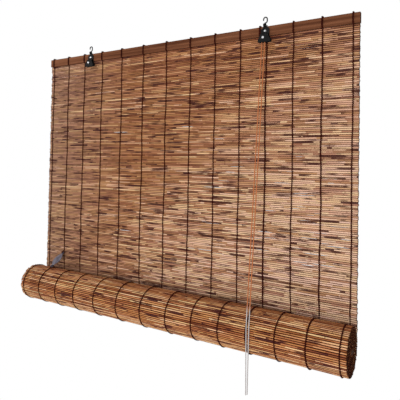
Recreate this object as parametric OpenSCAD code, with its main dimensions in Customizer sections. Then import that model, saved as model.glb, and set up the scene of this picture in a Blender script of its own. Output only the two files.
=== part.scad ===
// Reed roll up blind, in millimetres, +Z up, the front of the blind faces -Y.
// A mat of reeds bound by warp threads hangs from a wooden rail on two hooks.
// Its lower part is rolled up in front of it and held by a steel clip.
// The origin is midway between the two points where the hooks bear on their supports.

/* [Mat] */

// width of the mat and of both rails
blind_w = 1000; // [800:10:1200]
// diameter of one reed
reed_d = 4.6; // [4.2:0.1:5]
// number of reeds in the hanging part
hanging_reeds = 156; // [80:1:190]
// number of turns in the roll
roll_turns = 8; // [4:1:9]
// number of open gaps between neighbouring reeds
mat_gaps = 110; // [20:1:120]
// height of an open gap
gap_h = 1; // [0.6:0.1:1.4]

/* [Warp threads] */

// diameter of a warp strand
warp_d = 2.6; // [2:0.1:2.8]
// distance of the outer warps from the reed ends
warp_inset = 15; // [10:1:25]
// how far the middle warps stray to the right of even spacing
warp_drift = 12.5; // [0:0.5:14]
// how far the warps of each half stray away from the middle
warp_spread = 12; // [0:0.5:13]

/* [Rails] */

// height of the head rail
rail_h = 24; // [22:1:32]
// thickness of the head rail
rail_t = 11; // [11:0.5:16]
// width of the bottom rail in the core of the roll
bottom_w = 24; // [18:1:28]
// thickness of the bottom rail
bottom_t = 9; // [6:0.5:12]
// radius of the rails' long edges
edge_r = 1.5; // [1:0.1:2]

/* [Hangers] */

// distance of the left hanger from the third warp
left_offset = 29.5; // [22:0.5:36]
// distance of the right hanger from the eleventh warp
right_offset = -2.2; // [-4:0.2:0]
// inner radius of the hook
hook_r = 3.3; // [2.8:0.1:4]
// length of the hook's straight leg
hook_leg = 4.4; // [3:0.2:7]
// wire diameter of the hook
hook_wire = 3.1; // [2.4:0.1:3.4]
// height of the ferrule that grips the hook's shank
ferrule_h = 6.2; // [5:0.2:9]
// sheet thickness of the hanger plate and its cheek
plate_t = 1.2; // [1:0.1:1.6]
// width of the plate on the rail
shank_w = 22; // [20:0.5:23]
// width of the flared lower end
flare_w = 32; // [29:1:36]
// how far the flare reaches below the rail
flare_drop = 17; // [16:0.5:20]

/* [Pulleys] */

// outer radius of a pulley
pulley_r = 4.5; // [4:0.1:5]
// radius of the groove's floor
groove_r = 2.5; // [2.3:0.1:2.8]
// width of a pulley
pulley_w = 6.4; // [5.6:0.1:7.2]
// diameter of the axle
axle_d = 3; // [2.4:0.1:3.2]
// diameter of the pull cord
cord_d = 2.2; // [1.8:0.1:2.4]

/* [Roll clip] */

// length of the clip from tip to tip
clip_l = 62; // [58:1:68]
// width of the clip across its middle
clip_w = 27; // [23:1:32]
// sheet thickness of the clip
clip_t = 1.5; // [1:0.1:2]
// width of the clip's two tongues
tongue_w = 9.5; // [8.5:0.5:11]
// width of the thread notch in each tongue
notch_w = 3; // [2.6:0.1:3.6]

/* [Hidden] */

$fn = 48;
fit = 0.05;
touch = 0.08;

// neighbouring reeds press 0.1 mm into each other
reed_r = reed_d / 2;
pitch = reed_d - 0.1;
turn_pitch = reed_d + 0.3;
warp_r = warp_d / 2;
warps = 14;

// the rail's faces stand proud of the strands that lie on the mat
rail_y = max(rail_t / 2, reed_r + warp_d + 4 * touch);
mat_y = reed_r + warp_r + touch;
bind_y = rail_y + warp_r + touch;

// heights below the hooks' bearing line
hook_mid = hook_r + hook_wire / 2;
hook_bend = 1.8;
shank_top = -2 * hook_r - hook_leg - hook_wire / 2 - hook_bend;
rail_top = shank_top - 0.2 - ferrule_h;
rail_low = rail_top - rail_h;
bind_top = rail_top + warp_r + touch;
first_reed = rail_low - 0.6 - reed_r;
last_reed = first_reed - (hanging_reeds - 1) * pitch;

// the roll is wound round the bottom rail and hangs level with the end of the mat
core_r = norm([bottom_w / 2 - edge_r, bottom_t / 2 - edge_r]) + edge_r + 0.1;
wind_r = core_r + reed_r + (roll_turns - 1) * turn_pitch;
roll_r = wind_r + reed_r;
roll_y = -wind_r;
roll_z = last_reed - reed_d - 0.3;
jog_start = 310;
ring_r = roll_r + warp_r + touch;

// warp and hanger places along the width, from the middle of the blind
bay = (blind_w - 2 * warp_inset) / (warps - 1);
function stray(i) = let (t = i / (warps - 1))
    warp_drift * (sin(180 * t) - 0.34 * sin(540 * t)) - warp_spread * sin(360 * t);
function woven_x(i) = warp_inset - blind_w / 2 + i * bay + stray(i);
left_x = woven_x(2) + left_offset;
right_x = woven_x(10) + right_offset;
mid_x = -(left_x + right_x) / 2;
function warp_x(i) = woven_x(i) + mid_x;
hook_x = (right_x - left_x) / 2;
mat_left = mid_x - blind_w / 2;

// the eleventh warp is tied to the rail beside the right hanger and slants back behind its flare
hung_warp = 10;
tie_x = hook_x - shank_w / 2 - warp_r - 2.2;
function rail_x(i) = i == hung_warp ? tie_x : warp_x(i);
tie_drop = 12;

// hanger depths and heights
plate_y = -rail_y;
cheek_gap = pulley_w + 0.6;
cheek_in = plate_y - plate_t - cheek_gap;
pulley_y = plate_y - plate_t - cheek_gap / 2;
pulley_dx = -3.2;
pulley_z = rail_low - 5;
flare_low = rail_low - flare_drop;
screw_z = rail_top - rail_h / 2;
screw_d = 3.2;
screw_in = 7;
wrap_r = groove_r + cord_d / 2 + 2 * touch;

// each cord strand leaves its pulley, leans out to the roll's front and ends in a free tail
cord_y = roll_y - roll_r - cord_d / 2 - 0.3;
lean_y = cord_y + 3;
lean_top = pulley_z - 16;
lean_low = roll_z + 26;
function lean(from, to) = [for (k = [0 : 10]) let (t = k / 10)
    [from + (to - from) * t, pulley_y + (lean_y - pulley_y) * t, lean_top + (lean_low - lean_top) * t]];
function tail(from, to, len) = [for (k = [0 : 5]) let (t = k / 5)
    [from + (to - from) * t, cord_y - 0.5 * sin(180 * t), roll_z - len * t]];
function strand(x, low, knee, end, len) = concat(
    [[x, pulley_y, pulley_z - 8]],
    lean(x, low),
    tail(knee, end, len)
);
left_route = strand(hook_x + pulley_dx - wrap_r, hook_x + 4.5, hook_x + 5.9, hook_x + 7.3, 126);
right_route = strand(hook_x + pulley_dx + wrap_r, hook_x + 11, hook_x + 12, hook_x + 10.9, 124);

reed_tan = [0.72, 0.55, 0.36];
roll_tan = [0.74, 0.5, 0.28];
thread_dark = [0.2, 0.09, 0.08];
wood_brown = [0.48, 0.33, 0.24];
steel_black = [0.12, 0.12, 0.13];
steel_bright = [0.8, 0.8, 0.8];
steel_grey = [0.36, 0.35, 0.39];
cord_tan = [0.75, 0.55, 0.38];

function unit(v) = v / norm(v);
function part_of(v) = v - floor(v);

// a rounded rectangle, centred
module rounded(w, h, r) {
    square([w - 2 * r, h], center = true);
    square([w, h - 2 * r], center = true);
    for (sx = [-1, 1], sy = [-1, 1])
        translate([sx * (w / 2 - r), sy * (h / 2 - r)])
            circle(r = r);
}

// extrude a profile drawn in Y and Z along X
module along_x(len) {
    rotate([90, 0, 90])
        linear_extrude(len)
            children();
}

// extrude an outline drawn in X and Z towards the front
module to_front(len) {
    rotate([90, 0, 0])
        linear_extrude(len)
            children();
}

// points of a smooth line through a route
function curve_at(p, i, t) = let (
    a = p[max(i - 1, 0)],
    b = p[i],
    c = p[i + 1],
    d = p[min(i + 2, len(p) - 1)]
) 0.5 * (2 * b + (c - a) * t + (2 * a - 5 * b + 4 * c - d) * t * t
    + (3 * b - a - 3 * c + d) * t * t * t);
function smooth(p, n) = concat(
    [for (i = [0 : len(p) - 2], k = [0 : n - 1]) curve_at(p, i, k / n)],
    [p[len(p) - 1]]
);
function heading(p, i) = unit(p[min(i + 1, len(p) - 1)] - p[max(i - 1, 0)]);
function hoop(c, t, side, r, n) = let (
    u = unit(cross(t, side)),
    v = cross(t, u)
) [for (k = [0 : n - 1]) c + r * (cos(360 * k / n) * u + sin(360 * k / n) * v)];

// a cord or thread swept along a line of points, which never runs along side
module tube(p, r, side, n = 8) {
    last = len(p) - 1;
    skin = [for (i = [0 : last]) each hoop(p[i], heading(p, i), side, r, n)];
    sides = [for (i = [0 : last - 1], k = [0 : n - 1]) let (
        a = i * n + k,
        b = i * n + (k + 1) % n
    ) each [[a, b, b + n], [a, b + n, a + n]]];
    start = [for (k = [0 : n - 1]) n - 1 - k];
    end = [for (k = [0 : n - 1]) last * n + k];
    polyhedron(points = skin, faces = concat(sides, [start], [end]));
}

// rails

module head_rail() {
    color(wood_brown)
        difference() {
            translate([mat_left, 0, rail_top - rail_h / 2])
                along_x(blind_w)
                    rounded(2 * rail_y, rail_h, edge_r);
            for (sx = [-1, 1])
                translate([sx * hook_x, plate_y + screw_in + 0.3, screw_z])
                    rotate([90, 0, 0])
                        cylinder(d = screw_d + 2 * fit, h = screw_in + 1);
        }
}

module bottom_rail() {
    color(wood_brown)
        translate([mat_left, roll_y, roll_z])
            along_x(blind_w)
                rounded(bottom_w, bottom_t, edge_r);
}

// the mat: a row of reeds that touch, with open gaps here and there

module gap_slits() {
    for (g = [0 : mat_gaps - 1]) {
        row = floor(part_of(0.37 + g * 0.618034) * (hanging_reeds - 1));
        len = 24 + 40 * part_of(0.21 + g * 0.569840);
        x = mat_left + 20 + part_of(0.11 + g * 0.754878) * (blind_w - 40 - len);
        z = first_reed - (row + 0.5) * pitch;
        translate([x, -reed_r, z - gap_h / 2])
            cube([len, reed_d, gap_h]);
    }
}

module hanging_mat() {
    color(reed_tan)
        difference() {
            translate([mat_left, 0, 0])
                along_x(blind_w)
                    for (i = [0 : hanging_reeds - 1])
                        translate([0, first_reed - i * pitch])
                            circle(d = reed_d);
            gap_slits();
        }
}

// the roll: each turn is round, and steps inwards where it meets the hanging mat

function step(t) = let (s = max(0, (part_of(t) - jog_start / 360) / (1 - jog_start / 360)))
    floor(t) + s * s * (3 - 2 * s);
function turn_r(a) = wind_r - turn_pitch * step(a / 360);
function wound_at(a) = turn_r(a) * [cos(a), -sin(a)];
function closer(a, s) = s * pitch / norm(wound_at(a + s) - wound_at(a));
function reed_turn(a) = closer(a, closer(a, closer(a, 2 * asin(pitch / 2 / turn_r(a)))));
wound_end = 360 * (roll_turns - 1) + jog_start;
wound = [for (a = 0; a < wound_end; a = a + reed_turn(a)) a];

module rolled_mat() {
    color(roll_tan)
        translate([mat_left, roll_y, roll_z])
            along_x(blind_w)
                for (a = wound)
                    translate(wound_at(a))
                        circle(d = reed_d);
}

// warp threads: over the rail and down both faces of the mat, then round the roll

function bend(x, y, z, r, from) = [for (k = [0 : 3])
    [x, y + r * cos(from + 30 * k), z + r * sin(from + 30 * k)]];

module warp(i) {
    x = warp_x(i);
    tie = rail_x(i);
    r = warp_d;
    nip = roll_z + 0.62 * roll_r;
    slant = first_reed - tie_drop;
    back = concat(
        [[x, mat_y, roll_z + touch], [x, mat_y, slant - 0.4], [x, mat_y, slant]],
        [[tie, mat_y, first_reed - 0.4], [tie, mat_y, first_reed]],
        [[tie, bind_y, rail_low], [tie, bind_y, rail_low + 1]],
        bend(tie, bind_y - r, bind_top - r, r, 0)
    );
    front = concat(
        bend(tie, r - bind_y, bind_top - r, r, 90),
        [[tie, -bind_y, rail_low + 1], [tie, -bind_y, rail_low]],
        [[tie, -mat_y, first_reed], [tie, -mat_y, first_reed - 0.4]],
        [[x, -mat_y, slant], [x, -mat_y, slant - 0.4], [x, -mat_y, nip]]
    );
    color(thread_dark)
        tube(concat(back, front), warp_r, [1, 0, 0]);
}

module roll_warp(i) {
    color(thread_dark)
        translate([warp_x(i), roll_y, roll_z])
            rotate([90, 0, 90])
                rotate(-jog_start)
                    rotate_extrude(angle = jog_start)
                        translate([ring_r, 0])
                            circle(r = warp_r);
}

// hangers, drawn with the hook on x = 0

module flared_outline(top, corner) {
    w = shank_w / 2;
    half = flare_w / 2;
    polygon([
        [corner - w, top], [w - corner, top], [w, top - corner], [w, rail_low - 1],
        [half, flare_low + 5.5], [half, flare_low],
        [-half, flare_low], [-half, flare_low + 5.5], [-w, rail_low - 1], [-w, top - corner]
    ]);
}

module hanger_bores() {
    translate([0, 1 - rail_y, screw_z])
        rotate([90, 0, 0])
            cylinder(d = screw_d + 2 * fit, h = 8);
    translate([pulley_dx, 1 - rail_y, pulley_z])
        rotate([90, 0, 0])
            cylinder(d = axle_d + 2 * fit, h = 20);
}

module hanger_plate() {
    ferrule_y = plate_y - plate_t / 2;
    neck = 11;
    color(steel_black)
        difference() {
            union() {
                translate([0, plate_y, 0])
                    to_front(plate_t)
                        flared_outline(rail_top - 3, 4);
                translate([-neck / 2, plate_y - plate_t, rail_top - 8])
                    cube([neck, plate_t, 10]);
                translate([-hook_bend, ferrule_y, rail_top + 0.4])
                    cylinder(d = hook_wire + 5.2, h = ferrule_h - 0.4);
            }
            hanger_bores();
            translate([-hook_bend, ferrule_y, rail_top + 0.4])
                cylinder(d = hook_wire + 2 * fit, h = ferrule_h + 1);
        }
}

module cheek_profile() {
    back = plate_y - plate_t;
    top = rail_top - 5;
    bend = rail_low + 6;
    polygon([
        [back, top], [back, bend], [cheek_in, bend - 4.6], [cheek_in, flare_low],
        [cheek_in - plate_t, flare_low], [cheek_in - plate_t, bend - 4],
        [back - plate_t, bend + 0.6], [back - plate_t, top]
    ]);
}

module hanger_cheek() {
    color(steel_black)
        difference() {
            intersection() {
                to_front(40)
                    flared_outline(rail_top - 5, 3);
                translate([-flare_w, 0, 0])
                    along_x(2 * flare_w)
                        cheek_profile();
            }
            hanger_bores();
        }
}

module hanger_hook() {
    color(steel_black)
        translate([0, plate_y - plate_t / 2, 0]) {
            translate([-hook_bend, 0, rail_top + 0.6])
                cylinder(d = hook_wire, h = shank_top - rail_top - 0.6);
            translate([0, 0, shank_top])
                rotate([90, 0, 0])
                    rotate(90)
                        rotate_extrude(angle = 90)
                            translate([hook_bend, 0])
                                circle(d = hook_wire);
            translate([0, 0, -hook_r - hook_leg])
                rotate([90, 0, 0])
                    rotate(-90)
                        rotate_extrude(angle = 90)
                            translate([hook_mid, 0])
                                circle(d = hook_wire);
            translate([hook_mid, 0, -hook_r - hook_leg])
                cylinder(d = hook_wire, h = hook_leg);
            translate([0, 0, -hook_r])
                rotate([90, 0, 0])
                    rotate_extrude(angle = 180)
                        translate([hook_mid, 0])
                            circle(d = hook_wire);
            translate([-hook_mid, 0, -hook_r])
                rotate([180, 0, 0])
                    cylinder(d1 = hook_wire, d2 = 0.6 * hook_wire, h = 0.8 * hook_leg);
        }
}

module pulley() {
    half = pulley_w / 2;
    floor_w = cord_d / 2 + 0.5;
    color(steel_grey)
        translate([pulley_dx, pulley_y, pulley_z])
            rotate([90, 0, 0])
                rotate_extrude()
                    polygon([
                        [axle_d / 2 + fit, -half], [pulley_r, -half], [pulley_r, 0.8 - half],
                        [groove_r, -floor_w], [groove_r, floor_w],
                        [pulley_r, half - 0.8], [pulley_r, half], [axle_d / 2 + fit, half]
                    ]);
}

module pulley_axle() {
    head = cheek_in - plate_t;
    color(steel_bright)
        translate([pulley_dx, 0, pulley_z])
            rotate([90, 0, 0]) {
                translate([0, 0, rail_y - 0.8])
                    cylinder(d = axle_d + 2, h = 0.8);
                translate([0, 0, rail_y - 0.4])
                    cylinder(d = axle_d, h = -head - rail_y + 0.8);
                translate([0, 0, -head])
                    cylinder(d1 = axle_d + 3.4, d2 = axle_d + 1, h = 1.4);
            }
}

module hanger_screw() {
    seat = rail_y + 2 * plate_t;
    color(steel_bright)
        translate([0, 0, screw_z])
            rotate([90, 0, 0])
                difference() {
                    union() {
                        translate([0, 0, rail_y - screw_in])
                            cylinder(d = screw_d, h = screw_in + 2 * plate_t + 0.4);
                        translate([0, 0, seat])
                            cylinder(d1 = 2 * screw_d, d2 = 1.4 * screw_d, h = 1.6);
                    }
                    translate([-screw_d, -0.4, seat + 0.9])
                        cube([2 * screw_d, 0.8, 2]);
                }
}

module hanger_screws() {
    for (sx = [-1, 1])
        translate([sx * hook_x, 0, 0])
            hanger_screw();
}

// pull cord: one cord laid over the right pulley, with two free strands

function over_pulley(from) = [for (k = [0 : 6]) let (a = from + k * (90 - from) / 6)
    [hook_x + pulley_dx + wrap_r * cos(a), pulley_y, pulley_z + wrap_r * sin(a)]];
function reversed(p) = [for (i = [len(p) - 1 : -1 : 0]) p[i]];

module pull_cord_left() {
    color(cord_tan)
        tube(concat(reversed(over_pulley(180)), smooth(left_route, 3)), cord_d / 2, [0, 1, 0.12]);
}

module pull_cord_right() {
    color(cord_tan)
        tube(concat(reversed(over_pulley(0)), smooth(right_route, 3)), cord_d / 2, [0, 1, 0.12]);
}

// clip: a leaf of sheet steel with a notched tongue at each end, from the mat to the roll

module clip_outline() {
    half = 0.38 * clip_l;
    leaf = (half * half + clip_w * clip_w / 4) / clip_w;
    tip = clip_l / 2;
    notch_in = 5.5;
    difference() {
        union() {
            intersection() {
                translate([0, clip_w / 2 - leaf])
                    circle(r = leaf);
                translate([0, leaf - clip_w / 2])
                    circle(r = leaf);
            }
            rounded(clip_l, tongue_w, 3);
        }
        for (s = [-1, 1]) {
            translate([s * (tip - notch_in), s * 0.5])
                circle(d = notch_w);
            translate([s * (tip - notch_in) - notch_w / 2, s > 0 ? 0.5 : -tongue_w])
                square([notch_w, tongue_w - 0.5]);
        }
    }
}

module roll_clip() {
    seat = 5;
    rest = ring_r + warp_r + 0.3 + clip_t / 2;
    foot_y = roll_y - rest * sin(seat);
    foot_z = roll_z + rest * cos(seat);
    top_y = -mat_y - warp_r - 0.3 - clip_t / 2;
    rise = acos((top_y - foot_y) / clip_l);
    color(steel_grey)
        translate([warp_x(1), foot_y, foot_z])
            rotate([rise, 0, 0])
                rotate([0, 0, 90])
                    translate([clip_l / 2, 0, -clip_t / 2])
                        linear_extrude(clip_t)
                            clip_outline();
}

head_rail();
hanging_mat();
rolled_mat();
bottom_rail();
warp(0);  // warp_01
warp(1);  // warp_02
warp(2);  // warp_03
warp(3);  // warp_04
warp(4);  // warp_05
warp(5);  // warp_06
warp(6);  // warp_07
warp(7);  // warp_08
warp(8);  // warp_09
warp(9);  // warp_10
warp(10);  // warp_11
warp(11);  // warp_12
warp(12);  // warp_13
warp(13);  // warp_14
roll_warp(0);  // roll_warp_01
roll_warp(1);  // roll_warp_02
roll_warp(2);  // roll_warp_03
roll_warp(3);  // roll_warp_04
roll_warp(4);  // roll_warp_05
roll_warp(5);  // roll_warp_06
roll_warp(6);  // roll_warp_07
roll_warp(7);  // roll_warp_08
roll_warp(8);  // roll_warp_09
roll_warp(9);  // roll_warp_10
roll_warp(10);  // roll_warp_11
roll_warp(11);  // roll_warp_12
roll_warp(12);  // roll_warp_13
roll_warp(13);  // roll_warp_14
translate([-hook_x, 0, 0]) hanger_plate();  // hanger_plate_left
translate([hook_x, 0, 0]) hanger_plate();  // hanger_plate_right
translate([-hook_x, 0, 0]) hanger_cheek();  // hanger_cheek_left
translate([hook_x, 0, 0]) hanger_cheek();  // hanger_cheek_right
translate([-hook_x, 0, 0]) hanger_hook();  // hanger_hook_left
translate([hook_x, 0, 0]) hanger_hook();  // hanger_hook_right
translate([-hook_x, 0, 0]) pulley();  // pulley_left
translate([hook_x, 0, 0]) pulley();  // pulley_right
translate([-hook_x, 0, 0]) pulley_axle();  // pulley_axle_left
translate([hook_x, 0, 0]) pulley_axle();  // pulley_axle_right
hanger_screws();
pull_cord_left();
pull_cord_right();
roll_clip();
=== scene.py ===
import math
import random

import bpy
import numpy as np
from mathutils import Matrix, Vector


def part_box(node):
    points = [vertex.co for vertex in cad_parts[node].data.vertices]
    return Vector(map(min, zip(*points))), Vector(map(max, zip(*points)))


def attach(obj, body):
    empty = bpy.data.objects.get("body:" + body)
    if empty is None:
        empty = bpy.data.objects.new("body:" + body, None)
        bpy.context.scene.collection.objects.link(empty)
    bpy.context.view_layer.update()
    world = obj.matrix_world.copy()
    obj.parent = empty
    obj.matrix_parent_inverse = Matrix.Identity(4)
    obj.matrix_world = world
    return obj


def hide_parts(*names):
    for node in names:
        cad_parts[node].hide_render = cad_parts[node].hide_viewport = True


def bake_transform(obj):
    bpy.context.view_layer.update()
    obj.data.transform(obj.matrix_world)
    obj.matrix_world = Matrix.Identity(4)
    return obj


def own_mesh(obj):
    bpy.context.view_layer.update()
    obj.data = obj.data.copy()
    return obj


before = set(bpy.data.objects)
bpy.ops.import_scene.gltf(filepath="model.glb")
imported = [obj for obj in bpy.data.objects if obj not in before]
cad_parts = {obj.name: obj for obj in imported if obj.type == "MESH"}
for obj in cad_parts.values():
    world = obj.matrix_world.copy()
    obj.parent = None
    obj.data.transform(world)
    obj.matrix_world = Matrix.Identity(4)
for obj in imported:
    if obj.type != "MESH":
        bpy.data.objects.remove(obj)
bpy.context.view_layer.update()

# Sizes, in metres
MM = 0.001
REED_D = 4.6 * MM
REED_NESTING = 0.1 * MM
TURN_CLEARANCE = 0.3 * MM
PITCH = REED_D - REED_NESTING
TURN_PITCH = REED_D + TURN_CLEARANCE
THREAD_R = 1.4 * MM
CORD_D = 2.2 * MM

# Counts, and the angle in degrees at which each turn of the roll starts to step inwards
HANGING_REEDS = 156
ROLL_TURNS = 8
WARPS = 14
JOG_START = 310.0

# Shift of the grain from one reed to the next, so that no two look alike
INDEX_STEP = 17.3
LAST_INDEX = INDEX_STEP * HANGING_REEDS

# Places that follow from the frame
mat_low, mat_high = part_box("hanging_mat")
rail_low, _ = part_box("head_rail")
roll_low, roll_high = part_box("rolled_mat")
REED_R = REED_D / 2
FIRST_REED = mat_high.z - REED_R
ROLL_R = (roll_high.z - roll_low.z) / 2
ROLL_Y = (roll_low.y + roll_high.y) / 2
ROLL_Z = (roll_low.z + roll_high.z) / 2
WIND_R = ROLL_R - REED_R

# Each warp's place on the mat, and where it is tied to the rail
warp_boxes = [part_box(f"warp_{i + 1:02d}") for i in range(WARPS)]
ring_boxes = [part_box(f"roll_warp_{i + 1:02d}") for i in range(WARPS)]
WARP_X = [(low.x + high.x) / 2 for low, high in ring_boxes]
TIE_X = [low.x + high.x - x for (low, high), x in zip(warp_boxes, WARP_X)]


# Camera, at the photograph's viewing angle

CAMERA_PLACE = Vector((0.71834, -1.00868, -0.37045))
CAMERA_YAW = math.radians(31.082)
CAMERA_PITCH = math.radians(1.4756)
CAMERA_ROLL = math.radians(1.1238)
CAMERA_LENS = 39.577
CAMERA_SENSOR = 36
CAMERA_SHIFT = -0.1116


def make_camera():
    data = bpy.data.cameras.new("camera")
    data.lens = CAMERA_LENS
    data.sensor_width = CAMERA_SENSOR
    data.shift_y = CAMERA_SHIFT
    camera = bpy.data.objects.new("camera", data)
    bpy.context.scene.collection.objects.link(camera)
    level = math.cos(CAMERA_PITCH)
    ahead = Vector((-math.sin(CAMERA_YAW) * level, math.cos(CAMERA_YAW) * level, math.sin(CAMERA_PITCH)))
    across = Vector((math.cos(CAMERA_YAW), math.sin(CAMERA_YAW), 0))
    above = across.cross(ahead)
    right = math.cos(CAMERA_ROLL) * across + math.sin(CAMERA_ROLL) * above
    up = math.cos(CAMERA_ROLL) * above - math.sin(CAMERA_ROLL) * across
    turn = Matrix((right, up, -ahead)).transposed()
    camera.matrix_world = Matrix.Translation(CAMERA_PLACE) @ turn.to_4x4()
    bpy.context.scene.camera = camera


make_camera()


# Mesh helpers

THREAD_SIDES = 6
STRAND_SHARE = 0.54


class Tubes:
    """Collects round tubes and makes one object of them."""

    def __init__(self):
        self.points, self.grain, self.mark = [], [], []
        self.faces, self.flat = [], []
        self.count = 0

    def add(self, rings, grain, mark, flat_rows=()):
        """rings, grain and mark are (row, side, 3) arrays; flat_rows are the bands shaded flat."""
        rows, sides = rings.shape[:2]
        for kept, new in ((self.points, rings), (self.grain, grain), (self.mark, mark)):
            kept.append(np.broadcast_to(new, rings.shape).reshape(-1, 3))
        row, side = np.meshgrid(np.arange(rows - 1), np.arange(sides), indexing="ij")
        here = self.count + row * sides + side
        there = self.count + row * sides + (side + 1) % sides
        quads = np.stack([here, there, there + sides, here + sides], axis=-1).reshape(-1, 4)
        self.faces += quads.tolist()
        self.flat += [r in flat_rows for r in range(rows - 1) for _ in range(sides)]
        last = self.count + (rows - 1) * sides
        self.faces.append(list(range(self.count + sides - 1, self.count - 1, -1)))
        self.faces.append(list(range(last, last + sides)))
        self.flat += [True, True]
        self.count += rows * sides

    def make(self, name, material):
        mesh = bpy.data.meshes.new(name)
        mesh.from_pydata(np.concatenate(self.points), [], self.faces)
        mesh.polygons.foreach_set("use_smooth", [not flat for flat in self.flat])
        for label, values in (("grain", self.grain), ("mark", self.mark)):
            attribute = mesh.attributes.new(label, "FLOAT_VECTOR", "POINT")
            attribute.data.foreach_set("vector", np.concatenate(values).astype(np.float32).ravel())
        mesh.materials.append(material)
        thing = bpy.data.objects.new(name, mesh)
        bpy.context.scene.collection.objects.link(thing)
        return thing


def circle_angles(sides):
    return np.arange(sides) * 2 * math.pi / sides


def along(path):
    """Distance of each point from the start of the path."""
    steps = np.linalg.norm(np.diff(path, axis=0), axis=1)
    return np.concatenate([[0], np.cumsum(steps)])


def frames(path):
    """Normal and binormal at each point of the path, carried along without twist."""
    tangent = np.gradient(path, axis=0)
    tangent /= np.linalg.norm(tangent, axis=1)[:, None]
    start = np.array([1.0, 0, 0]) if abs(tangent[0][0]) < 0.9 else np.array([0, 1.0, 0])
    normal = np.empty_like(path)
    normal[0] = start - tangent[0] * (start @ tangent[0])
    normal[0] /= np.linalg.norm(normal[0])
    for i in range(1, len(path)):
        side = normal[i - 1] - tangent[i] * (normal[i - 1] @ tangent[i])
        normal[i] = side / np.linalg.norm(side)
    return normal, np.cross(tangent, normal)


def sweep(tubes, path, radius, index):
    """Adds a thin tube along the path."""
    path = np.asarray(path, float)
    normal, binormal = frames(path)
    angle = circle_angles(THREAD_SIDES)
    spoke = normal[:, None] * np.cos(angle)[:, None] + binormal[:, None] * np.sin(angle)[:, None]
    rings = path[:, None] + radius * spoke
    grain = np.empty(rings.shape)
    grain[..., 0] = along(path)[:, None]
    grain[..., 1] = radius * angle
    grain[..., 2] = index
    tubes.add(rings, grain, np.zeros(3))


def spline(points, step):
    """A smooth curve through the points, sampled about every step."""
    points = np.asarray(points, float)
    ends = np.vstack([2 * points[0] - points[1], points, 2 * points[-1] - points[-2]])
    found = []
    for a, b, c, d in zip(ends, ends[1:], ends[2:], ends[3:]):
        count = max(2, round(np.linalg.norm(c - b) / step))
        for t in np.arange(count) / count:
            found.append(0.5 * (2 * b + (c - a) * t + (2 * a - 5 * b + 4 * c - d) * t**2
                                + (3 * b - a - 3 * c + d) * t**3))
    return np.array([*found, points[-1]])


def twisted(tubes, path, outer_r, strands, lay, index):
    """Adds a rope of so many strands laid round the path, lay metres to a turn."""
    normal, binormal = frames(path)
    thin = STRAND_SHARE * outer_r
    turn = 2 * math.pi * along(path) / lay
    for k in range(strands):
        angle = (turn + 2 * math.pi * k / strands)[:, None]
        centre = path + (outer_r - thin) * (normal * np.cos(angle) + binormal * np.sin(angle))
        sweep(tubes, centre, thin, index + k)


def between(a, b, t):
    return a + (b - a) * t


def ease(t):
    """A smooth step from 0 to 1 while t goes from 0 to 1."""
    t = min(1.0, max(0.0, t))
    return t * t * (3 - 2 * t)


# Material helpers

def tint(red, green, blue):
    """Linear colour of an sRGB one given from 0 to 255."""
    parts = [c / 255 for c in (red, green, blue)]
    return tuple(c / 12.92 if c <= 0.04045 else ((c + 0.055) / 1.055) ** 2.4 for c in parts) + (1.0,)


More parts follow.
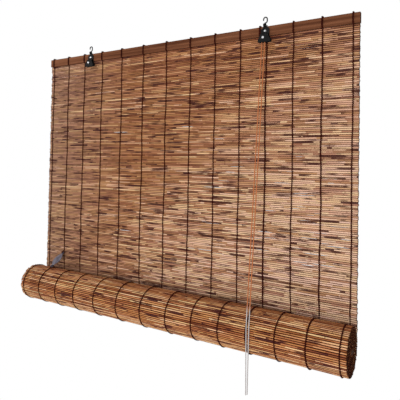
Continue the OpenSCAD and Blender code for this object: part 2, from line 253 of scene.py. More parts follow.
class Paint:
    """One material: nodes round a Principled shader."""

    def __init__(self, name, specular, metallic=0.0):
        self.material = bpy.data.materials.new(name)
        self.material.use_nodes = True
        self.tree = self.material.node_tree
        self.shader = self.tree.nodes["Principled BSDF"]
        self.shader.inputs["Specular IOR Level"].default_value = specular
        self.shader.inputs["Metallic"].default_value = metallic

    def node(self, kind, inputs=(), **settings):
        """Adds a node; inputs are (socket, value) pairs, where a value may be another node's output."""
        made = self.tree.nodes.new(kind)
        for name, value in settings.items():
            setattr(made, name, value)
        for socket, value in inputs:
            if isinstance(value, bpy.types.NodeSocket):
                self.tree.links.new(value, made.inputs[socket])
            else:
                made.inputs[socket].default_value = value
        return made

    def attribute(self, name):
        return self.node("ShaderNodeAttribute", attribute_name=name).outputs["Vector"]

    def coordinates(self):
        return self.node("ShaderNodeTexCoord").outputs["Object"]

    def split(self, vector):
        return self.node("ShaderNodeSeparateXYZ", [(0, vector)]).outputs

    def math(self, operation, a, b=0.0):
        return self.node("ShaderNodeMath", [(0, a), (1, b)], operation=operation).outputs[0]

    def swing(self, value, size):
        """A value from 0 to 1 made to swing round 0, by size from end to end."""
        return self.math("MULTIPLY", self.math("SUBTRACT", value, 0.5), size)

    def stretch(self, vector, scale):
        return self.node("ShaderNodeVectorMath", [(0, vector), (1, scale)], operation="MULTIPLY").outputs[0]

    def noise(self, vector, scale, detail=2.0):
        """Noise that is finer along an axis where scale is larger."""
        inputs = [("Vector", self.stretch(vector, scale)), ("Scale", 1.0), ("Detail", detail)]
        return self.node("ShaderNodeTexNoise", inputs).outputs["Fac"]

    def cells(self, vector, scale):
        """Three random numbers for each of the uneven cells that fill space."""
        inputs = [("Vector", self.stretch(vector, scale)), ("Scale", 1.0)]
        return self.split(self.node("ShaderNodeTexVoronoi", inputs).outputs["Color"])

    def ramp(self, value, *stops):
        """Colours, or greys given as numbers, at (place, colour) stops."""
        made = self.node("ShaderNodeValToRGB", [("Fac", value)])
        elements = made.color_ramp.elements
        while len(elements) < len(stops):
            elements.new(0.5)
        for element, (place, colour) in zip(elements, stops):
            element.position = place
            element.color = colour if isinstance(colour, tuple) else (colour, colour, colour, 1)
        return made.outputs["Color"]

    def mix(self, share, a, b, blend="MIX"):
        made = self.node("ShaderNodeMix", [(0, share), (6, a), (7, b)], data_type="RGBA", blend_type=blend)
        return made.outputs[2]

    def darken(self, colour, factor):
        return self.mix(1.0, colour, factor, "MULTIPLY")

    def finish(self, colour, roughness, height, depth, strength=0.6):
        """Joins colour, roughness and a height that stands depth metres proud to the shader."""
        inputs = [("Height", height), ("Strength", strength), ("Distance", depth)]
        normal = self.node("ShaderNodeBump", inputs).outputs[0]
        for socket, value in (("Base Color", colour), ("Roughness", roughness), ("Normal", normal)):
            self.tree.links.new(value, self.shader.inputs[socket])
        return self.material


# Reed material: frequencies along a reed, round it and from one reed to the next

TONE_BITS = (14, 0, 1)
TONE_MOTTLE = (8, 0, 1)
SEAM_SHADE_WANDER = (11, 0, 1)
STAIN_PATCHES = (16, 0, 1)
STREAKS = (26, 1700, 1)

# Reed material: contrast, stains, the paler lower right (partly painted light, partly paler reeds) and the
# greyer left
BIT_CONTRAST = 0.4
STAIN_TURN = 1.7
STAIN_NARROWING = 0.26
STAIN_EDGE = 0.012
STAIN_SHARE = 0.95
RIGHT_SHARE = 0.7
LOW_SHARE = 0.52
PALING_LEAST = 0.4
PALING_SPREAD = 1.2
LIGHT_AND_PALE = tint(224, 192, 172)
GREYED = tint(184, 156, 134)
YELLOWER = (1, 0.985, 0.87, 1)
REDDER = (1, 0.935, 1, 1)
REED_SHINE = 0.12
REED_RELIEF = 0.3 * MM
ALL_ROUGH = (1, 1, 1, 1)


def lower_right_light_and_paling(paint, place, index, bit, side_tints):
    """How far a reed is painted paler, partly as painted light and partly as paler reeds: most at the mat's
    lower right, and unevenly from bit to bit.
    """
    right = paint.math("MULTIPLY", place, RIGHT_SHARE)
    low = paint.math("MULTIPLY", index, LOW_SHARE / LAST_INDEX)
    reached = paint.ramp(paint.math("ADD", right, low), (0.22, 0.0), (0.68, 1.0))
    uneven = paint.math("ADD", paint.math("MULTIPLY", bit, PALING_SPREAD), PALING_LEAST)
    return paint.math("MULTIPLY", reached, paint.math("MULTIPLY", uneven, side_tints))


def left_greying(paint, place, side_tints):
    """How far the mat's left side has greyed."""
    left = paint.ramp(paint.math("ADD", place, 0.5), (0.02, 1.0), (0.36, 0.0))
    return paint.math("MULTIPLY", left, side_tints)


def stain_dashes(paint, grain, turn, band, stain_from):
    """Thin dashes of stain along a reed, each on its own side of it."""
    middle = paint.math("MULTIPLY", band, STAIN_TURN)
    off = paint.math("ABSOLUTE", paint.math("SUBTRACT", turn, middle))
    patch = paint.noise(grain, STAIN_PATCHES)
    dash = paint.math("SUBTRACT", patch, paint.math("MULTIPLY", off, STAIN_NARROWING))
    return paint.ramp(dash, (stain_from, 0.0), (stain_from + STAIN_EDGE, STAIN_SHARE))


def reed_paint(name, body, stain, knot, hollow, stain_from, seam_shade, side_tints, mottle):
    """Dry reed: bits of different tone, streaks, painted shade where reeds meet, stains, knots, and painted
    shade on the cut ends and in the bore.
    """
    paint = Paint(name, specular=REED_SHINE)
    grain = paint.attribute("grain")
    place, around, index = paint.split(grain)
    tone, knots, cut = paint.split(paint.attribute("mark"))
    bit, band, hue = paint.cells(grain, TONE_BITS)
    shade = paint.math("ADD", tone, paint.swing(bit, BIT_CONTRAST))
    shade = paint.math("ADD", shade, paint.swing(paint.noise(grain, TONE_MOTTLE), mottle))
    # Painted light and paler reeds: the mat is painted paler towards its lower right.
    light_and_paling = lower_right_light_and_paling(paint, place, index, bit, side_tints)
    colour = paint.ramp(paint.math("ADD", shade, light_and_paling), *body)
    colour = paint.mix(light_and_paling, colour, LIGHT_AND_PALE)
    colour = paint.mix(left_greying(paint, place, side_tints), colour, GREYED)
    colour = paint.darken(colour, paint.ramp(hue, (0.2, YELLOWER), (0.8, REDDER)))
    streak = paint.noise(grain, STREAKS, 3)
    colour = paint.darken(colour, paint.ramp(streak, (0.28, 0.62), (0.5, 0.95), (0.74, 1.0)))
    # Painted shade where neighbouring reeds meet: each reed's sides are darkened, along a wandering edge.
    turn = paint.math("MULTIPLY", around, 1 / REED_R)
    wander = paint.swing(paint.noise(grain, SEAM_SHADE_WANDER), 1.0)
    edge = paint.math("ADD", paint.math("SINE", turn), wander)
    colour = paint.darken(colour, paint.ramp(edge, *seam_shade))
    colour = paint.mix(stain_dashes(paint, grain, turn, band, stain_from), colour, stain)
    colour = paint.mix(knots, colour, knot)
    # Painted shade: the cut ends and the bore of each reed are darkened.
    colour = paint.mix(cut, colour, hollow)
    rough = paint.mix(cut, paint.ramp(streak, (0.3, 0.7), (0.7, 0.45)), ALL_ROUGH)
    shine = paint.math("MULTIPLY", paint.math("SUBTRACT", 1.0, cut), REED_SHINE)
    paint.tree.links.new(shine, paint.shader.inputs["Specular IOR Level"])
    return paint.finish(colour, rough, streak, REED_RELIEF)


# Other materials: frequencies along each axis, reliefs, and where along a cord its painted light starts

FIBRES_ROUND = 3000
WORN_STRETCHES = (60, 0, 1)
WOOD_FIGURE = (3, 130, 130)
WOOD_PORES = (25, 1100, 1100)
METAL_CLOUDS = (90, 90, 60)
THREAD_RELIEF = 0.15 * MM
WOOD_RELIEF = 0.2 * MM
METAL_RELIEF = 0.05 * MM
BACKLIT_FROM = 0.715
BACKLIT_OVER = 0.02


def thread_paint(name, dark, light, twist, backlit_end=None):
    """Spun thread or cord: slanting fibres, worn stretches, and a cord's far end painted pale grey as
    painted light from the bright background.
    """
    paint = Paint(name, specular=0.05)
    grain = paint.attribute("grain")
    fibre = paint.noise(grain, (twist, FIBRES_ROUND, 1), 3)
    worn = paint.ramp(paint.noise(grain, WORN_STRETCHES), (0.35, 0.0), (0.7, 0.55))
    colour = paint.mix(worn, paint.ramp(fibre, (0.3, dark), (0.7, light)), light)
    # Painted light: the free end of a cord, which hangs against the white background, is painted pale grey.
    if backlit_end:
        place = paint.split(grain)["X"]
        far = paint.ramp(place, (BACKLIT_FROM, 0.0), (BACKLIT_FROM + BACKLIT_OVER, 1.0))
        colour = paint.mix(far, colour, backlit_end)
    rough = paint.ramp(fibre, (0.3, 0.95), (0.7, 0.78))
    return paint.finish(colour, rough, fibre, THREAD_RELIEF)


def wood_paint(name, dark, middle, light):
    """Planed and stained softwood with the grain along X, darker on its ends."""
    paint = Paint(name, specular=0.01)
    place = paint.coordinates()
    figure = paint.noise(place, WOOD_FIGURE, 4)
    pores = paint.noise(place, WOOD_PORES)
    colour = paint.ramp(figure, (0.28, dark), (0.5, middle), (0.72, light))
    colour = paint.darken(colour, paint.ramp(pores, (0.3, 0.72), (0.55, 1.0)))
    facing = paint.split(paint.node("ShaderNodeNewGeometry").outputs["Normal"])["X"]
    end_grain = paint.ramp(paint.math("ABSOLUTE", facing), (0.7, 1.0), (0.95, 0.25))
    colour = paint.darken(colour, end_grain)
    rough = paint.ramp(pores, (0.3, 0.75), (0.7, 0.5))
    return paint.finish(colour, rough, pores, WOOD_RELIEF)


def metal_paint(name, dark, light, metallic, rough, scratches, specular=0.3):
    """Sheet steel: cloudy colour and fine scratches; rough is the least and the most roughness."""
    paint = Paint(name, specular, metallic)
    place = paint.coordinates()
    cloud = paint.noise(place, METAL_CLOUDS, 3)
    scratch = paint.noise(place, scratches)
    colour = paint.ramp(cloud, (0.3, dark), (0.72, light))
    colour = paint.mix(paint.ramp(scratch, (0.66, 0.0), (0.8, 0.5)), colour, light)
    roughness = paint.ramp(scratch, (0.3, rough[0]), (0.7, rough[1]))
    return paint.finish(colour, roughness, scratch, METAL_RELIEF, strength=0.4)


MAT_REED = reed_paint(
    "mat_reed",
    body=((0.1, tint(118, 66, 40)), (0.38, tint(160, 106, 70)),
          (0.62, tint(188, 134, 92)), (0.95, tint(238, 196, 154))),
    stain=tint(64, 26, 24), knot=tint(104, 60, 42), hollow=tint(26, 13, 12),
    seam_shade=((0.6, 1.0), (0.92, (0.22, 0.15, 0.13, 1))),
    stain_from=0.475, side_tints=0.41, mottle=0.85)
ROLL_REED = reed_paint(
    "roll_reed",
    body=((0.1, tint(112, 54, 28)), (0.38, tint(176, 108, 62)),
          (0.62, tint(214, 152, 98)), (0.95, tint(248, 208, 158))),
    stain=tint(66, 24, 24), knot=tint(90, 46, 34), hollow=tint(40, 18, 14),
    seam_shade=((0.34, 1.0), (0.8, (0.18, 0.07, 0.07, 1))),
    stain_from=0.5, side_tints=0.0, mottle=0.6)
THREAD = thread_paint("thread", tint(36, 9, 6), tint(64, 20, 12), twist=900)
CORD = thread_paint("cord", tint(142, 72, 40), tint(206, 130, 84), twist=700, backlit_end=tint(186, 180, 178))
RAIL_WOOD = wood_paint("rail_wood", tint(82, 46, 30), tint(111, 69, 47), tint(138, 90, 64))
BLACK_STEEL = metal_paint(
    "black_steel", tint(9, 9, 9), tint(24, 24, 24),
    metallic=0.0, rough=(0.45, 0.65), scratches=(600, 600, 40), specular=0.1)
GREY_STEEL = metal_paint(
    "grey_steel", tint(78, 72, 84), tint(124, 118, 128),
    metallic=0.75, rough=(0.38, 0.6), scratches=(500, 500, 30))
BRIGHT_STEEL = metal_paint(
    "bright_steel", tint(200, 200, 202), tint(232, 232, 234),
    metallic=0.9, rough=(0.22, 0.4), scratches=(700, 700, 700))


# Pull cord: one twisted cord laid over the right pulley, with two free strands

pulley_low, pulley_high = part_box("pulley_right")
plate_low, plate_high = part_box("hanger_plate_right")
PULLEY = (pulley_low + pulley_high) / 2
HOOK_X = (plate_low.x + plate_high.x) / 2
WRAP_R = 3.76 * MM
WRAP_POINTS = 9
CORD_CLEARANCE = 0.3 * MM
CORD_Y = roll_low.y - CORD_D / 2 - CORD_CLEARANCE
EXIT_Z = PULLEY.z - 8 * MM
LEAN_TOP = PULLEY.z - 16 * MM
LEAN_LOW = ROLL_Z + 26 * MM
LEAN_Y = CORD_Y + 3 * MM
LEAN_STEPS = 10
TAIL_STEPS = 5
TAIL_BOW = 0.5 * MM
CORD_LAY = 7 * MM
CORD_STEP = 0.8 * MM
BIGHT_STEP = 0.6 * MM
CORD_STRANDS = 3
ROPE_R = 1.35 * MM


def strand_route(top, low, knee, end, tail):
    """Points from the pulley, leaning out to the roll's front, then down the free tail."""
    route = [(top, PULLEY.y, EXIT_Z)]
    for t in np.linspace(0, 1, LEAN_STEPS + 1):
        route.append((between(top, low, t), between(PULLEY.y, LEAN_Y, t), between(LEAN_TOP, LEAN_LOW, t)))
    for t in np.linspace(0, 1, TAIL_STEPS + 1):
        route.append((between(knee, end, t), CORD_Y - TAIL_BOW * math.sin(math.pi * t), ROLL_Z - tail * t))
    return route


LEFT_ROUTE = strand_route(top=PULLEY.x - WRAP_R, low=HOOK_X + 4.5 * MM, knee=HOOK_X + 5.9 * MM,
                          end=HOOK_X + 7.3 * MM, tail=126 * MM)
RIGHT_ROUTE = strand_route(top=PULLEY.x + WRAP_R, low=HOOK_X + 11 * MM, knee=HOOK_X + 12 * MM,
                           end=HOOK_X + 10.9 * MM, tail=124 * MM)


def make_strand(name, route, index):
    path = spline(route, CORD_STEP)
    tubes = Tubes()
    twisted(tubes, path, ROPE_R, CORD_STRANDS, CORD_LAY, index)
    strand = tubes.make(name, CORD)
    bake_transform(strand)
    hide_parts(name.replace("strand", "cord"))


def make_bight(index):
    """The short stretch of the cord that lies over the pulley, between the two strands."""
    start, end = LEFT_ROUTE[0], RIGHT_ROUTE[0]
    arc = [(PULLEY.x - WRAP_R * math.cos(a), PULLEY.y, PULLEY.z + WRAP_R * math.sin(a))
           for a in np.linspace(0, math.pi, WRAP_POINTS)]
    tubes = Tubes()
    twisted(tubes, spline([start, *arc, end], BIGHT_STEP), ROPE_R, CORD_STRANDS, CORD_LAY, index)
    bight = tubes.make("pull_cord_bight", CORD)
    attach(bight, "blind")
    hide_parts("pull_cord_left", "pull_cord_right")


make_strand("pull_strand_left", LEFT_ROUTE, index=60)
make_strand("pull_strand_right", RIGHT_ROUTE, index=70)
make_bight(index=90)


# Reeds: ends, knots and bore

REED_SIDES = 8
REED_STEP = 36 * MM
LEFT_RAGGED = 3.6 * MM
RIGHT_RAGGED = 1.4 * MM
END_MARGIN = 1 * MM
# Painted shade on each reed's cut end: the chamfer and the bore, and the last few millimetres of the
# outside, are darkened.
END_SHADE_LENGTH = 2.5 * MM
END_DARKNESS = 0.5
EDGE_DARKNESS = 0.9
CHAMFER = 0.3 * MM
CHAMFERED = 0.93
TAPER = 0.03
BORE_SHARE = 0.5
BORE_FLARE = 1.1
HOLLOW_DEPTH = 5 * MM
FIRST_KNOT = (0.02, 0.22)
NEXT_KNOT = (0.14, 0.3)
KNOT_MARGIN = 0.015
KNOT_STEPS = (-2 * MM, 0.0, 2 * MM)
KNOT_WIDTH = 1.6 * MM
KNOT_SWELL = 0.05
KNOT_DARKNESS = 0.7
TONE_LIMITS = (0.05, 0.95)


def knot_places(rng, start, stop):
    found = []
    at = start + rng.uniform(*FIRST_KNOT)
    while at < stop - KNOT_MARGIN:
        found.append(at)
        at += rng.uniform(*NEXT_KNOT)
    return found


def add_reed(tubes, rng, place, facing, radius, spacing, index, variety, extra=()):
    """Adds one hollow reed along X; place(x) gives its centre's y and z, facing its outer side's angle."""
    start = mat_low.x + rng.uniform(0, 1) * LEFT_RAGGED
    stop = mat_high.x - rng.uniform(0, 1) * RIGHT_RAGGED
    knots = knot_places(rng, start, stop)
    taper = rng.uniform(-TAPER, TAPER)
    stations = list(np.linspace(start + CHAMFER, stop - CHAMFER, max(2, round((stop - start) / spacing))))
    if len(stations) > 2:
        stations += [start + END_SHADE_LENGTH, stop - END_SHADE_LENGTH]
        stations += [k + step for k in knots for step in KNOT_STEPS]
        stations += [x for x in extra if start + END_MARGIN < x < stop - END_MARGIN]
    x = np.array(sorted(stations))

    # Outside of the reed, then its chamfered edges and the bore at each end
    knot = sum((np.exp(-(((x - k) / KNOT_WIDTH) ** 2)) for k in knots), np.zeros(len(x)))
    outer = radius * (1 + KNOT_SWELL * knot + taper * (x - x.mean()) / (stop - start))
    # Painted shade at each end of the outside, fading out a few millimetres in.
    dark = np.zeros(len(x))
    dark[[0, -1]] = END_DARKNESS
    inner = BORE_SHARE * radius
    mouth = BORE_FLARE * inner
    left, right = CHAMFERED * outer[[0, -1]]
    x = np.concatenate([[start + HOLLOW_DEPTH, start, start], x, [stop, stop, stop - HOLLOW_DEPTH]])
    r = np.concatenate([[inner, mouth, left], outer, [right, mouth, inner]])
    cut = np.concatenate([[1, 1, EDGE_DARKNESS], dark, [EDGE_DARKNESS, 1, 1]])
    knot = np.concatenate([[0, 0, 0], KNOT_DARKNESS * knot, [0, 0, 0]])

    y, z = place(x)
    angle = circle_angles(REED_SIDES)
    rings = np.empty((len(x), REED_SIDES, 3))
    rings[..., 0] = x[:, None]
    rings[..., 1] = y[:, None] + r[:, None] * np.cos(facing + math.pi + angle)
    rings[..., 2] = z[:, None] + r[:, None] * np.sin(facing + math.pi + angle)
    grain = np.empty(rings.shape)
    grain[..., 0] = x[:, None]
    grain[..., 1] = radius * np.abs(angle - math.pi)
    grain[..., 2] = index * INDEX_STEP
    least, most = TONE_LIMITS
    tone = min(most, max(least, rng.gauss(0.5, variety)))
    mark = np.empty(rings.shape)
    mark[...] = np.stack([np.full(len(x), tone), knot, cut], axis=-1)[:, None]
    tubes.add(rings, grain, mark, {0, 1, 2, len(x) - 4, len(x) - 3, len(x) - 2})


def waves(rng, size, lengths):
    """A smooth random bend along X, as a function."""
    parts = [(rng.uniform(0.5, 1) * size / k, rng.uniform(0, 2 * math.pi), length * rng.uniform(0.8, 1.25))
             for k, length in enumerate(lengths, 1)]
    return lambda x: sum(a * np.sin(2 * math.pi * x / length + phase) for a, phase, length in parts)


# Hanging mat: how its rows lie

MAT_SEED = 11
MAT_VARIETY = 0.12
MAT_SCALE = 1.035
MAT_SCALE_SPREAD = 0.02
MAT_SCALE_LIMITS = (1.0, 1.06)
WAVE_LENGTHS = (0.5, 0.17)
ROW_LIFT = 0.08 * MM
ROW_DEPTH = 0.3 * MM
FREE_ROWS = 3
TUCK_FROM = 45 * MM
TUCK_OVER = 35 * MM
TUCK_BACK = 0.5 * MM

# Rows wander together in a slow and a quick wave, across the mat and down it
DRIFT = 0.8 * MM
SETTLED_ROWS = 10
SLOW_LENGTH = 0.93
SLOW_ROWS = 63
QUICK_LENGTH = 0.38
QUICK_ROWS = 39
QUICK_SHARE = 0.5
QUICK_PHASE = 0.3

# Gaps between rows
GAPS = 52
GAP_ROWS = (40, HANGING_REEDS - 34)
GAP_MARGIN = 0.02
GAP_HALF_MM = (10, 38)
GAP_HEIGHT_MM = (0.4, 1.3)
GAP_FULL = 0.45
GAP_REACH = 3
GAP_DETAIL = 2
GAP_STATIONS = (-1, -0.5, 0.5, 1)
LOOSE_AT_TOP = 0.04
LOOSER_DOWN = 4
LOOSER_RIGHT = 2.2


def tucked(height):
    """1 where the roll lies against the mat's lower end, and 0 well above it."""
    return 1 - ease((height - ROLL_Z - TUCK_FROM) / TUCK_OVER)


def drift(row, x):
    """How far the rows of the mat wander up and down together."""
    settled = ease(row / SETTLED_ROWS) * ease((HANGING_REEDS - 1 - row) / SETTLED_ROWS)
    slow = np.sin(2 * math.pi * (x / SLOW_LENGTH + row / SLOW_ROWS))
    quick = QUICK_SHARE * np.sin(2 * math.pi * (x / QUICK_LENGTH - row / QUICK_ROWS + QUICK_PHASE))
    return DRIFT * settled * (slow + quick)


def looseness(row, across):
    """Chance of a gap, from the row and the share of the width: greatest low and to the right."""
    lower = LOOSE_AT_TOP + (1 - LOOSE_AT_TOP) * (row / HANGING_REEDS) ** LOOSER_DOWN
    return lower * across ** LOOSER_RIGHT


def open_gaps(rng):
    """Short gaps between a row and the next, as (row, x, half length, height)."""
    found = []
    while len(found) < GAPS:
        row = rng.randrange(*GAP_ROWS)
        across = rng.random()
        if rng.random() < looseness(row, across):
            x = mat_low.x + GAP_MARGIN + across * (mat_high.x - mat_low.x - 2 * GAP_MARGIN)
            found.append((row, x, rng.uniform(*GAP_HALF_MM) * MM, rng.uniform(*GAP_HEIGHT_MM) * MM))
    return found


def gap_shape(x, middle, half):
    """1 in the middle of a gap, and 0 beyond its ends."""
    t = np.clip((np.abs(x - middle) / half - GAP_FULL) / (1 - GAP_FULL), 0, 1)
    return 1 - t * t * (3 - 2 * t)


def gap_pushes(row, gaps):
    """What the gaps near a row do to it, as (middle, half length, push), and the x where it bends."""
    pushes, bends = [], []
    for gap_row, middle, half, height in gaps:
        below = row - gap_row
        rows_off = below - 1 if below > 0 else -below
        if rows_off < GAP_REACH:
            pushes.append((middle, half, (-0.5 if below > 0 else 0.5) * height * 0.5 ** rows_off))
        if rows_off < GAP_DETAIL:
            bends += [middle + k * half for k in GAP_STATIONS]
    return pushes, bends


def row_place(row, lift, depth, pushes):
    """The centre line of one row, as a function of x."""
    height = FIRST_REED - row * PITCH
    back = TUCK_BACK * tucked(height)
    free = ease(row / FREE_ROWS)

    def place(x):
        z = height + drift(row, x) + free * lift(x)
        for middle, half, push in pushes:
            z = z + push * gap_shape(x, middle, half)
        return free * depth(x) + back, z

    return place


def make_mat():
    rng = random.Random(MAT_SEED)
    tubes = Tubes()
    gaps = open_gaps(rng)
    least, most = MAT_SCALE_LIMITS
    for row in range(HANGING_REEDS):
        lift, depth = waves(rng, ROW_LIFT, WAVE_LENGTHS), waves(rng, ROW_DEPTH, WAVE_LENGTHS)
        radius = min(most, max(least, rng.gauss(MAT_SCALE, MAT_SCALE_SPREAD))) * REED_R
        pushes, bends = gap_pushes(row, gaps)
        place = row_place(row, lift, depth, pushes)
        add_reed(tubes, rng, place, math.pi, radius, REED_STEP, row, MAT_VARIETY, bends)
    mat = tubes.make("reed_mat", MAT_REED)
    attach(mat, "blind")
    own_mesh(mat)
    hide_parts("hanging_mat")


make_mat()


# Roll: the same mat wound inward from its back

ROLL_SEED = 23
ROLL_VARIETY = 0.2
ROLL_SCALE = 0.95
ROLL_SCALE_SPREAD = 0.035
ROLL_WAVE = 0.2 * MM
ROLL_INDEX = 300
SEEN_ANGLE = 400
HIDDEN_STEP = 2.0


def wound_r(angle):
    """Radius of the reeds' centre line, in degrees round the roll from its back, downwards first."""
    turns = angle / 360
    jog = JOG_START / 360
    return WIND_R - TURN_PITCH * (math.floor(turns) + ease((turns % 1 - jog) / (1 - jog)))


def wound_at(angle, r=None):
    r = wound_r(angle) if r is None else r
    turn = math.radians(angle)
    return ROLL_Y + r * math.cos(turn), ROLL_Z - r * math.sin(turn)


def wound_angles():
    """Angles of the wound reeds, one pitch apart."""
    found = [0.0]
    while True:
        angle = found[-1]
        step = math.degrees(PITCH / wound_r(angle))
        for _ in range(4):
            step *= PITCH / math.dist(wound_at(angle), wound_at(angle + step))
        if angle + step > 360 * (ROLL_TURNS - 1) + JOG_START:
            return found
        found.append(angle + step)


WOUND = wound_angles()


def wound_place(angle, lift, depth):
    """The centre line of one wound reed, as a function of x."""
    y, z = wound_at(angle)
    return lambda x: (y + depth(x), z + lift(x))


def make_roll():
    """The outer turn bends and is divided along its length; the turns inside it are straight."""
    rng = random.Random(ROLL_SEED)
    tubes = Tubes()
    for index, angle in enumerate(WOUND):
        size, spacing = (ROLL_WAVE, REED_STEP) if angle < SEEN_ANGLE else (0.0, HIDDEN_STEP)
        lift, depth = waves(rng, size, WAVE_LENGTHS), waves(rng, size, WAVE_LENGTHS)
        radius = min(1.0, rng.gauss(ROLL_SCALE, ROLL_SCALE_SPREAD)) * REED_R
        place = wound_place(angle, lift, depth)
        add_reed(tubes, rng, place, -math.radians(angle), radius, spacing, ROLL_INDEX + index, ROLL_VARIETY)
    roll = tubes.make("reed_roll", ROLL_REED)
    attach(roll, "roll")
    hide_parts("rolled_mat")


make_roll()


# Warp threads: two strands twined round each reed in turn

STITCH = REED_R + 0.75 * THREAD_R
STITCH_SIDE = 0.6 * THREAD_R
SAMPLES = 4
FULL_STITCH = 0.6
PRESSED = 0.63
HEAVY_WARPS = {10: 1.25, 12: 1.15}
TIE_ROWS = 2.7
STRAY = 1.2 * MM
STRAY_LENGTHS = (0.3, 0.07)
STRAY_ROWS = 6
ROLL_STRAY = 0.9 * MM
ROLL_STRAY_ANGLES = (240, 90)
WARP_SEED = 100
ROLL_WARP_SEED = 200
WARP_INDEX = 500
BINDING_INDEX = 600
ROLL_WARP_INDEX = 700

# Bindings over the rail
BINDING_CAD_R = 1.3 * MM
BINDING_BEND = 2 * BINDING_CAD_R
BINDING_CORNER = 0.3 * BINDING_BEND
BINDING_RISE = 2 * MM
BINDING_SCALE = 1.55
BINDING_LAY = 6 * MM
THREAD_STEP = 0.8 * MM


def twine(phase):
    """Swing of a strand from one face to the other, full over each reed."""
    swing = math.cos(phase)
    return math.copysign(abs(swing) ** FULL_STITCH, swing)


def strand_r(warp):
    return THREAD_R * HEAVY_WARPS.get(warp, 1.0)


def make_warp(warp):
    """The twined pair that hangs with the mat."""
    rng = random.Random(WARP_SEED + warp)
    stray = waves(rng, STRAY, STRAY_LENGTHS)
    rows = np.arange(-0.5 * SAMPLES, (HANGING_REEDS - 0.5) * SAMPLES) / SAMPLES
    tubes = Tubes()
    for k, sign in enumerate((1, -1)):
        path = []
        for row in rows:
            phase = math.pi * row
            x = between(TIE_X[warp], WARP_X[warp], ease(row / TIE_ROWS))
            height = FIRST_REED - row * PITCH + drift(row, x)
            side = STITCH_SIDE * sign * math.sin(phase)
            depth = -sign * STITCH * twine(phase)
            if depth < 0:
                depth *= 1 - PRESSED * tucked(height)
            path.append((x + stray(height) * ease(row / STRAY_ROWS) + side, depth, height))
        sweep(tubes, path, strand_r(warp), WARP_INDEX + 2 * warp + k)
    thread = tubes.make(f"warp_thread_{warp + 1:02d}", THREAD)
    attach(thread, "blind")
    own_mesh(thread)
    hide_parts(f"warp_{warp + 1:02d}")


def make_binding(warp):
    """The same pair twisted over the head rail, from the top reed's front to its back."""
    _, high = warp_boxes[warp]
    x = TIE_X[warp]
    face = high.y - BINDING_CAD_R
    top = high.z - BINDING_CAD_R
    half = [(x, STITCH, FIRST_REED + PITCH / 2), (x, face, rail_low.z + BINDING_RISE),
            (x, face, top - BINDING_BEND), (x, face - BINDING_CORNER, top - BINDING_CORNER),
            (x, face - BINDING_BEND, top)]
    front = [(px, -py, pz) for px, py, pz in half]
    path = spline(front + half[::-1], THREAD_STEP)
    tubes = Tubes()
    twisted(tubes, path, BINDING_SCALE * strand_r(warp), 2, BINDING_LAY, BINDING_INDEX + 2 * warp)
    binding = tubes.make(f"rail_binding_{warp + 1:02d}", THREAD)
    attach(binding, "blind")
    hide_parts(f"warp_{warp + 1:02d}")


def make_roll_warp(warp):
    """The twined pair round the outer turn of the roll."""
    rng = random.Random(ROLL_WARP_SEED + warp)
    x = WARP_X[warp]
    stray = waves(rng, ROLL_STRAY, ROLL_STRAY_ANGLES)
    outer = [a for a in WOUND if a <= JOG_START]
    tubes = Tubes()
    for k, sign in enumerate((1, -1)):
        path = []
        for at in np.arange(SAMPLES * (len(outer) - 1) + 1) / SAMPLES:
            angle = np.interp(at, np.arange(len(outer)), outer)
            phase = math.pi * at
            y, z = wound_at(angle, WIND_R + sign * STITCH * twine(phase))
            path.append((x + stray(angle) + STITCH_SIDE * sign * math.sin(phase), y, z))
        sweep(tubes, path, strand_r(warp), ROLL_WARP_INDEX + 2 * warp + k)
    thread = tubes.make(f"roll_thread_{warp + 1:02d}", THREAD)
    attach(thread, "roll")
    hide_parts(f"roll_warp_{warp + 1:02d}")


for warp in range(WARPS):
    make_warp(warp)
    make_binding(warp)
    make_roll_warp(warp)


# Loops of the second warp that are hooked into the clip's notches

CLIPPED = 1
NOTCH_AT = 0.09
NOTCH_SIDE = 0.5 * MM
NOTCH_RISE = 0.8 * MM
LOOP_SPAN = 9 * MM
LOOP_LIFT = 1.2 * MM
LOOP_OUT = STITCH + 1.95 * THREAD_R


def make_clip_loop(name, replaced, start, notch, end, index):
    entry = notch - Vector((NOTCH_SIDE, LOOP_LIFT, -NOTCH_RISE))
    leaving = notch - Vector((-NOTCH_SIDE, LOOP_LIFT, NOTCH_RISE))
    tubes = Tubes()
    sweep(tubes, spline([start, entry, leaving, end], THREAD_STEP), THREAD_R, index)
    loop = tubes.make(name, THREAD)
    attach(loop, "roll")
    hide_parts(replaced)


def make_clip_loops():
    clip_low, clip_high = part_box("roll_clip")
    x = WARP_X[CLIPPED]
    foot, top = Vector((x, clip_low.y, clip_low.z)), Vector((x, clip_high.y, clip_high.z))
    notch = top.lerp(foot, NOTCH_AT)
    above = Vector((x, -LOOP_OUT, notch.z + LOOP_SPAN))
    below = Vector((x, -LOOP_OUT, notch.z - LOOP_SPAN))
    make_clip_loop("clip_loop_mat", "warp_02", above, notch, below, index=800)
    notch = foot.lerp(top, NOTCH_AT)
    behind, ahead = [Vector((x, ROLL_Y + off, ROLL_Z + math.sqrt((WIND_R + LOOP_OUT) ** 2 - off ** 2)))
                     for off in (notch.y - ROLL_Y + LOOP_SPAN, notch.y - ROLL_Y - LOOP_SPAN)]
    make_clip_loop("clip_loop_roll", "roll_warp_02", behind, notch, ahead, index=810)


make_clip_loops()


# Finish of the pieces that keep their CAD form

FINISHES = {
    "head_rail": RAIL_WOOD, "bottom_rail": RAIL_WOOD,
    "hanger_plate": BLACK_STEEL, "hanger_cheek": BLACK_STEEL, "hanger_hook": BLACK_STEEL,
    "hanger_screws": BRIGHT_STEEL, "pulley_axle": BRIGHT_STEEL,
    "pulley": GREY_STEEL, "roll_clip": GREY_STEEL,
}

for name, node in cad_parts.items():
    plain = name.removesuffix("_left").removesuffix("_right")
    if plain in FINISHES:
        node.data.materials.clear()
        node.data.materials.append(FINISHES[plain])


# Stage and light

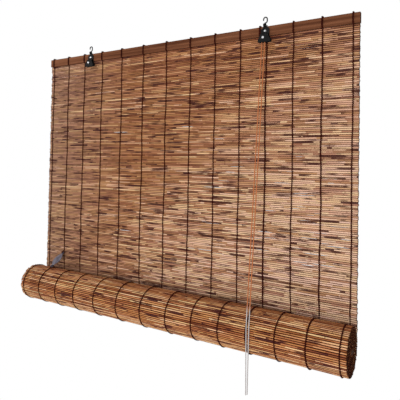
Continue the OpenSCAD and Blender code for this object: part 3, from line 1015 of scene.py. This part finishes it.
FLOOR_Z = -2.0
FLOOR_SIZE = 12
FLOOR_NEAR = 0.7
FLOOR_FAR = 1.6
FLOOR_GREY = (0.9, 0.9, 0.9, 1)
FLOOR_ROUGH = 0.9
WHITE = (1, 1, 1, 1)
SKY_LEVEL = 0.6
LAMP_AIM = Vector((0, 0, -0.45))
LAMP_SIZE = 1.6
KEY_WATTS = 38
FILL_WATTS = 16
BACK_WATTS = 26


def seen_directly(tree):
    """1 for rays from the camera, a mirror or glass, and 0 for the rest."""
    path = tree.nodes.new("ShaderNodeLightPath")
    found = path.outputs["Is Camera Ray"]
    for other in ("Is Glossy Ray", "Is Transmission Ray"):
        either = tree.nodes.new("ShaderNodeMath")
        either.operation = "MAXIMUM"
        tree.links.new(found, either.inputs[0])
        tree.links.new(path.outputs[other], either.inputs[1])
        found = either.outputs[0]
    return found


def floor_paint():
    """A pale floor that fades into the white background away from the object."""
    paint = Paint("floor", specular=0.1)
    paint.shader.inputs["Base Color"].default_value = FLOOR_GREY
    paint.shader.inputs["Roughness"].default_value = FLOOR_ROUGH
    place = paint.split(paint.coordinates())
    away = paint.node("ShaderNodeCombineXYZ", [("X", place["X"]), ("Y", place["Y"])]).outputs[0]
    distance = paint.node("ShaderNodeVectorMath", [(0, away)], operation="LENGTH").outputs["Value"]
    reach = [("Value", distance), ("From Min", FLOOR_NEAR), ("From Max", FLOOR_FAR)]
    fade = paint.node("ShaderNodeMapRange", reach).outputs[0]
    share = paint.math("MULTIPLY", fade, seen_directly(paint.tree))
    white = paint.node("ShaderNodeEmission", [("Color", WHITE), ("Strength", 1.0)]).outputs[0]
    both = paint.node("ShaderNodeMixShader", [(0, share), (1, paint.shader.outputs[0]), (2, white)])
    paint.tree.links.new(both.outputs[0], paint.tree.nodes["Material Output"].inputs["Surface"])
    return paint.material


def make_floor():
    mesh = bpy.data.meshes.new("floor")
    corners = [(FLOOR_SIZE * x, FLOOR_SIZE * y, FLOOR_Z) for x, y in ((-1, -1), (1, -1), (1, 1), (-1, 1))]
    mesh.from_pydata(corners, [], [(0, 1, 2, 3)])
    mesh.materials.append(floor_paint())
    floor = bpy.data.objects.new("floor", mesh)
    bpy.context.scene.collection.objects.link(floor)


def make_world():
    """White where it is seen directly, and a little darker as a light."""
    world = bpy.data.worlds.new("world")
    bpy.context.scene.world = world
    world.use_nodes = True
    tree = world.node_tree
    background = tree.nodes["Background"]
    background.inputs["Color"].default_value = WHITE
    level = tree.nodes.new("ShaderNodeMapRange")
    level.inputs["To Min"].default_value = SKY_LEVEL
    level.inputs["To Max"].default_value = 1.0
    tree.links.new(seen_directly(tree), level.inputs["Value"])
    tree.links.new(level.outputs[0], background.inputs["Strength"])


def make_lamp(name, place, watts):
    data = bpy.data.lights.new(name, "AREA")
    data.shape = "SQUARE"
    data.size = LAMP_SIZE
    data.energy = watts
    lamp = bpy.data.objects.new(name, data)
    bpy.context.scene.collection.objects.link(lamp)
    lamp.location = place
    lamp.rotation_mode = "QUATERNION"
    lamp.rotation_quaternion = (LAMP_AIM - Vector(place)).to_track_quat("-Z", "Y")


make_floor()
make_world()
make_lamp("key", (0.7, -2.8, -0.6), KEY_WATTS)
make_lamp("fill", (-2.2, -1.6, -0.2), FILL_WATTS)
make_lamp("back", (-0.6, 2.8, 0.4), BACK_WATTS)
bpy.context.scene.view_settings.view_transform = "Standard"
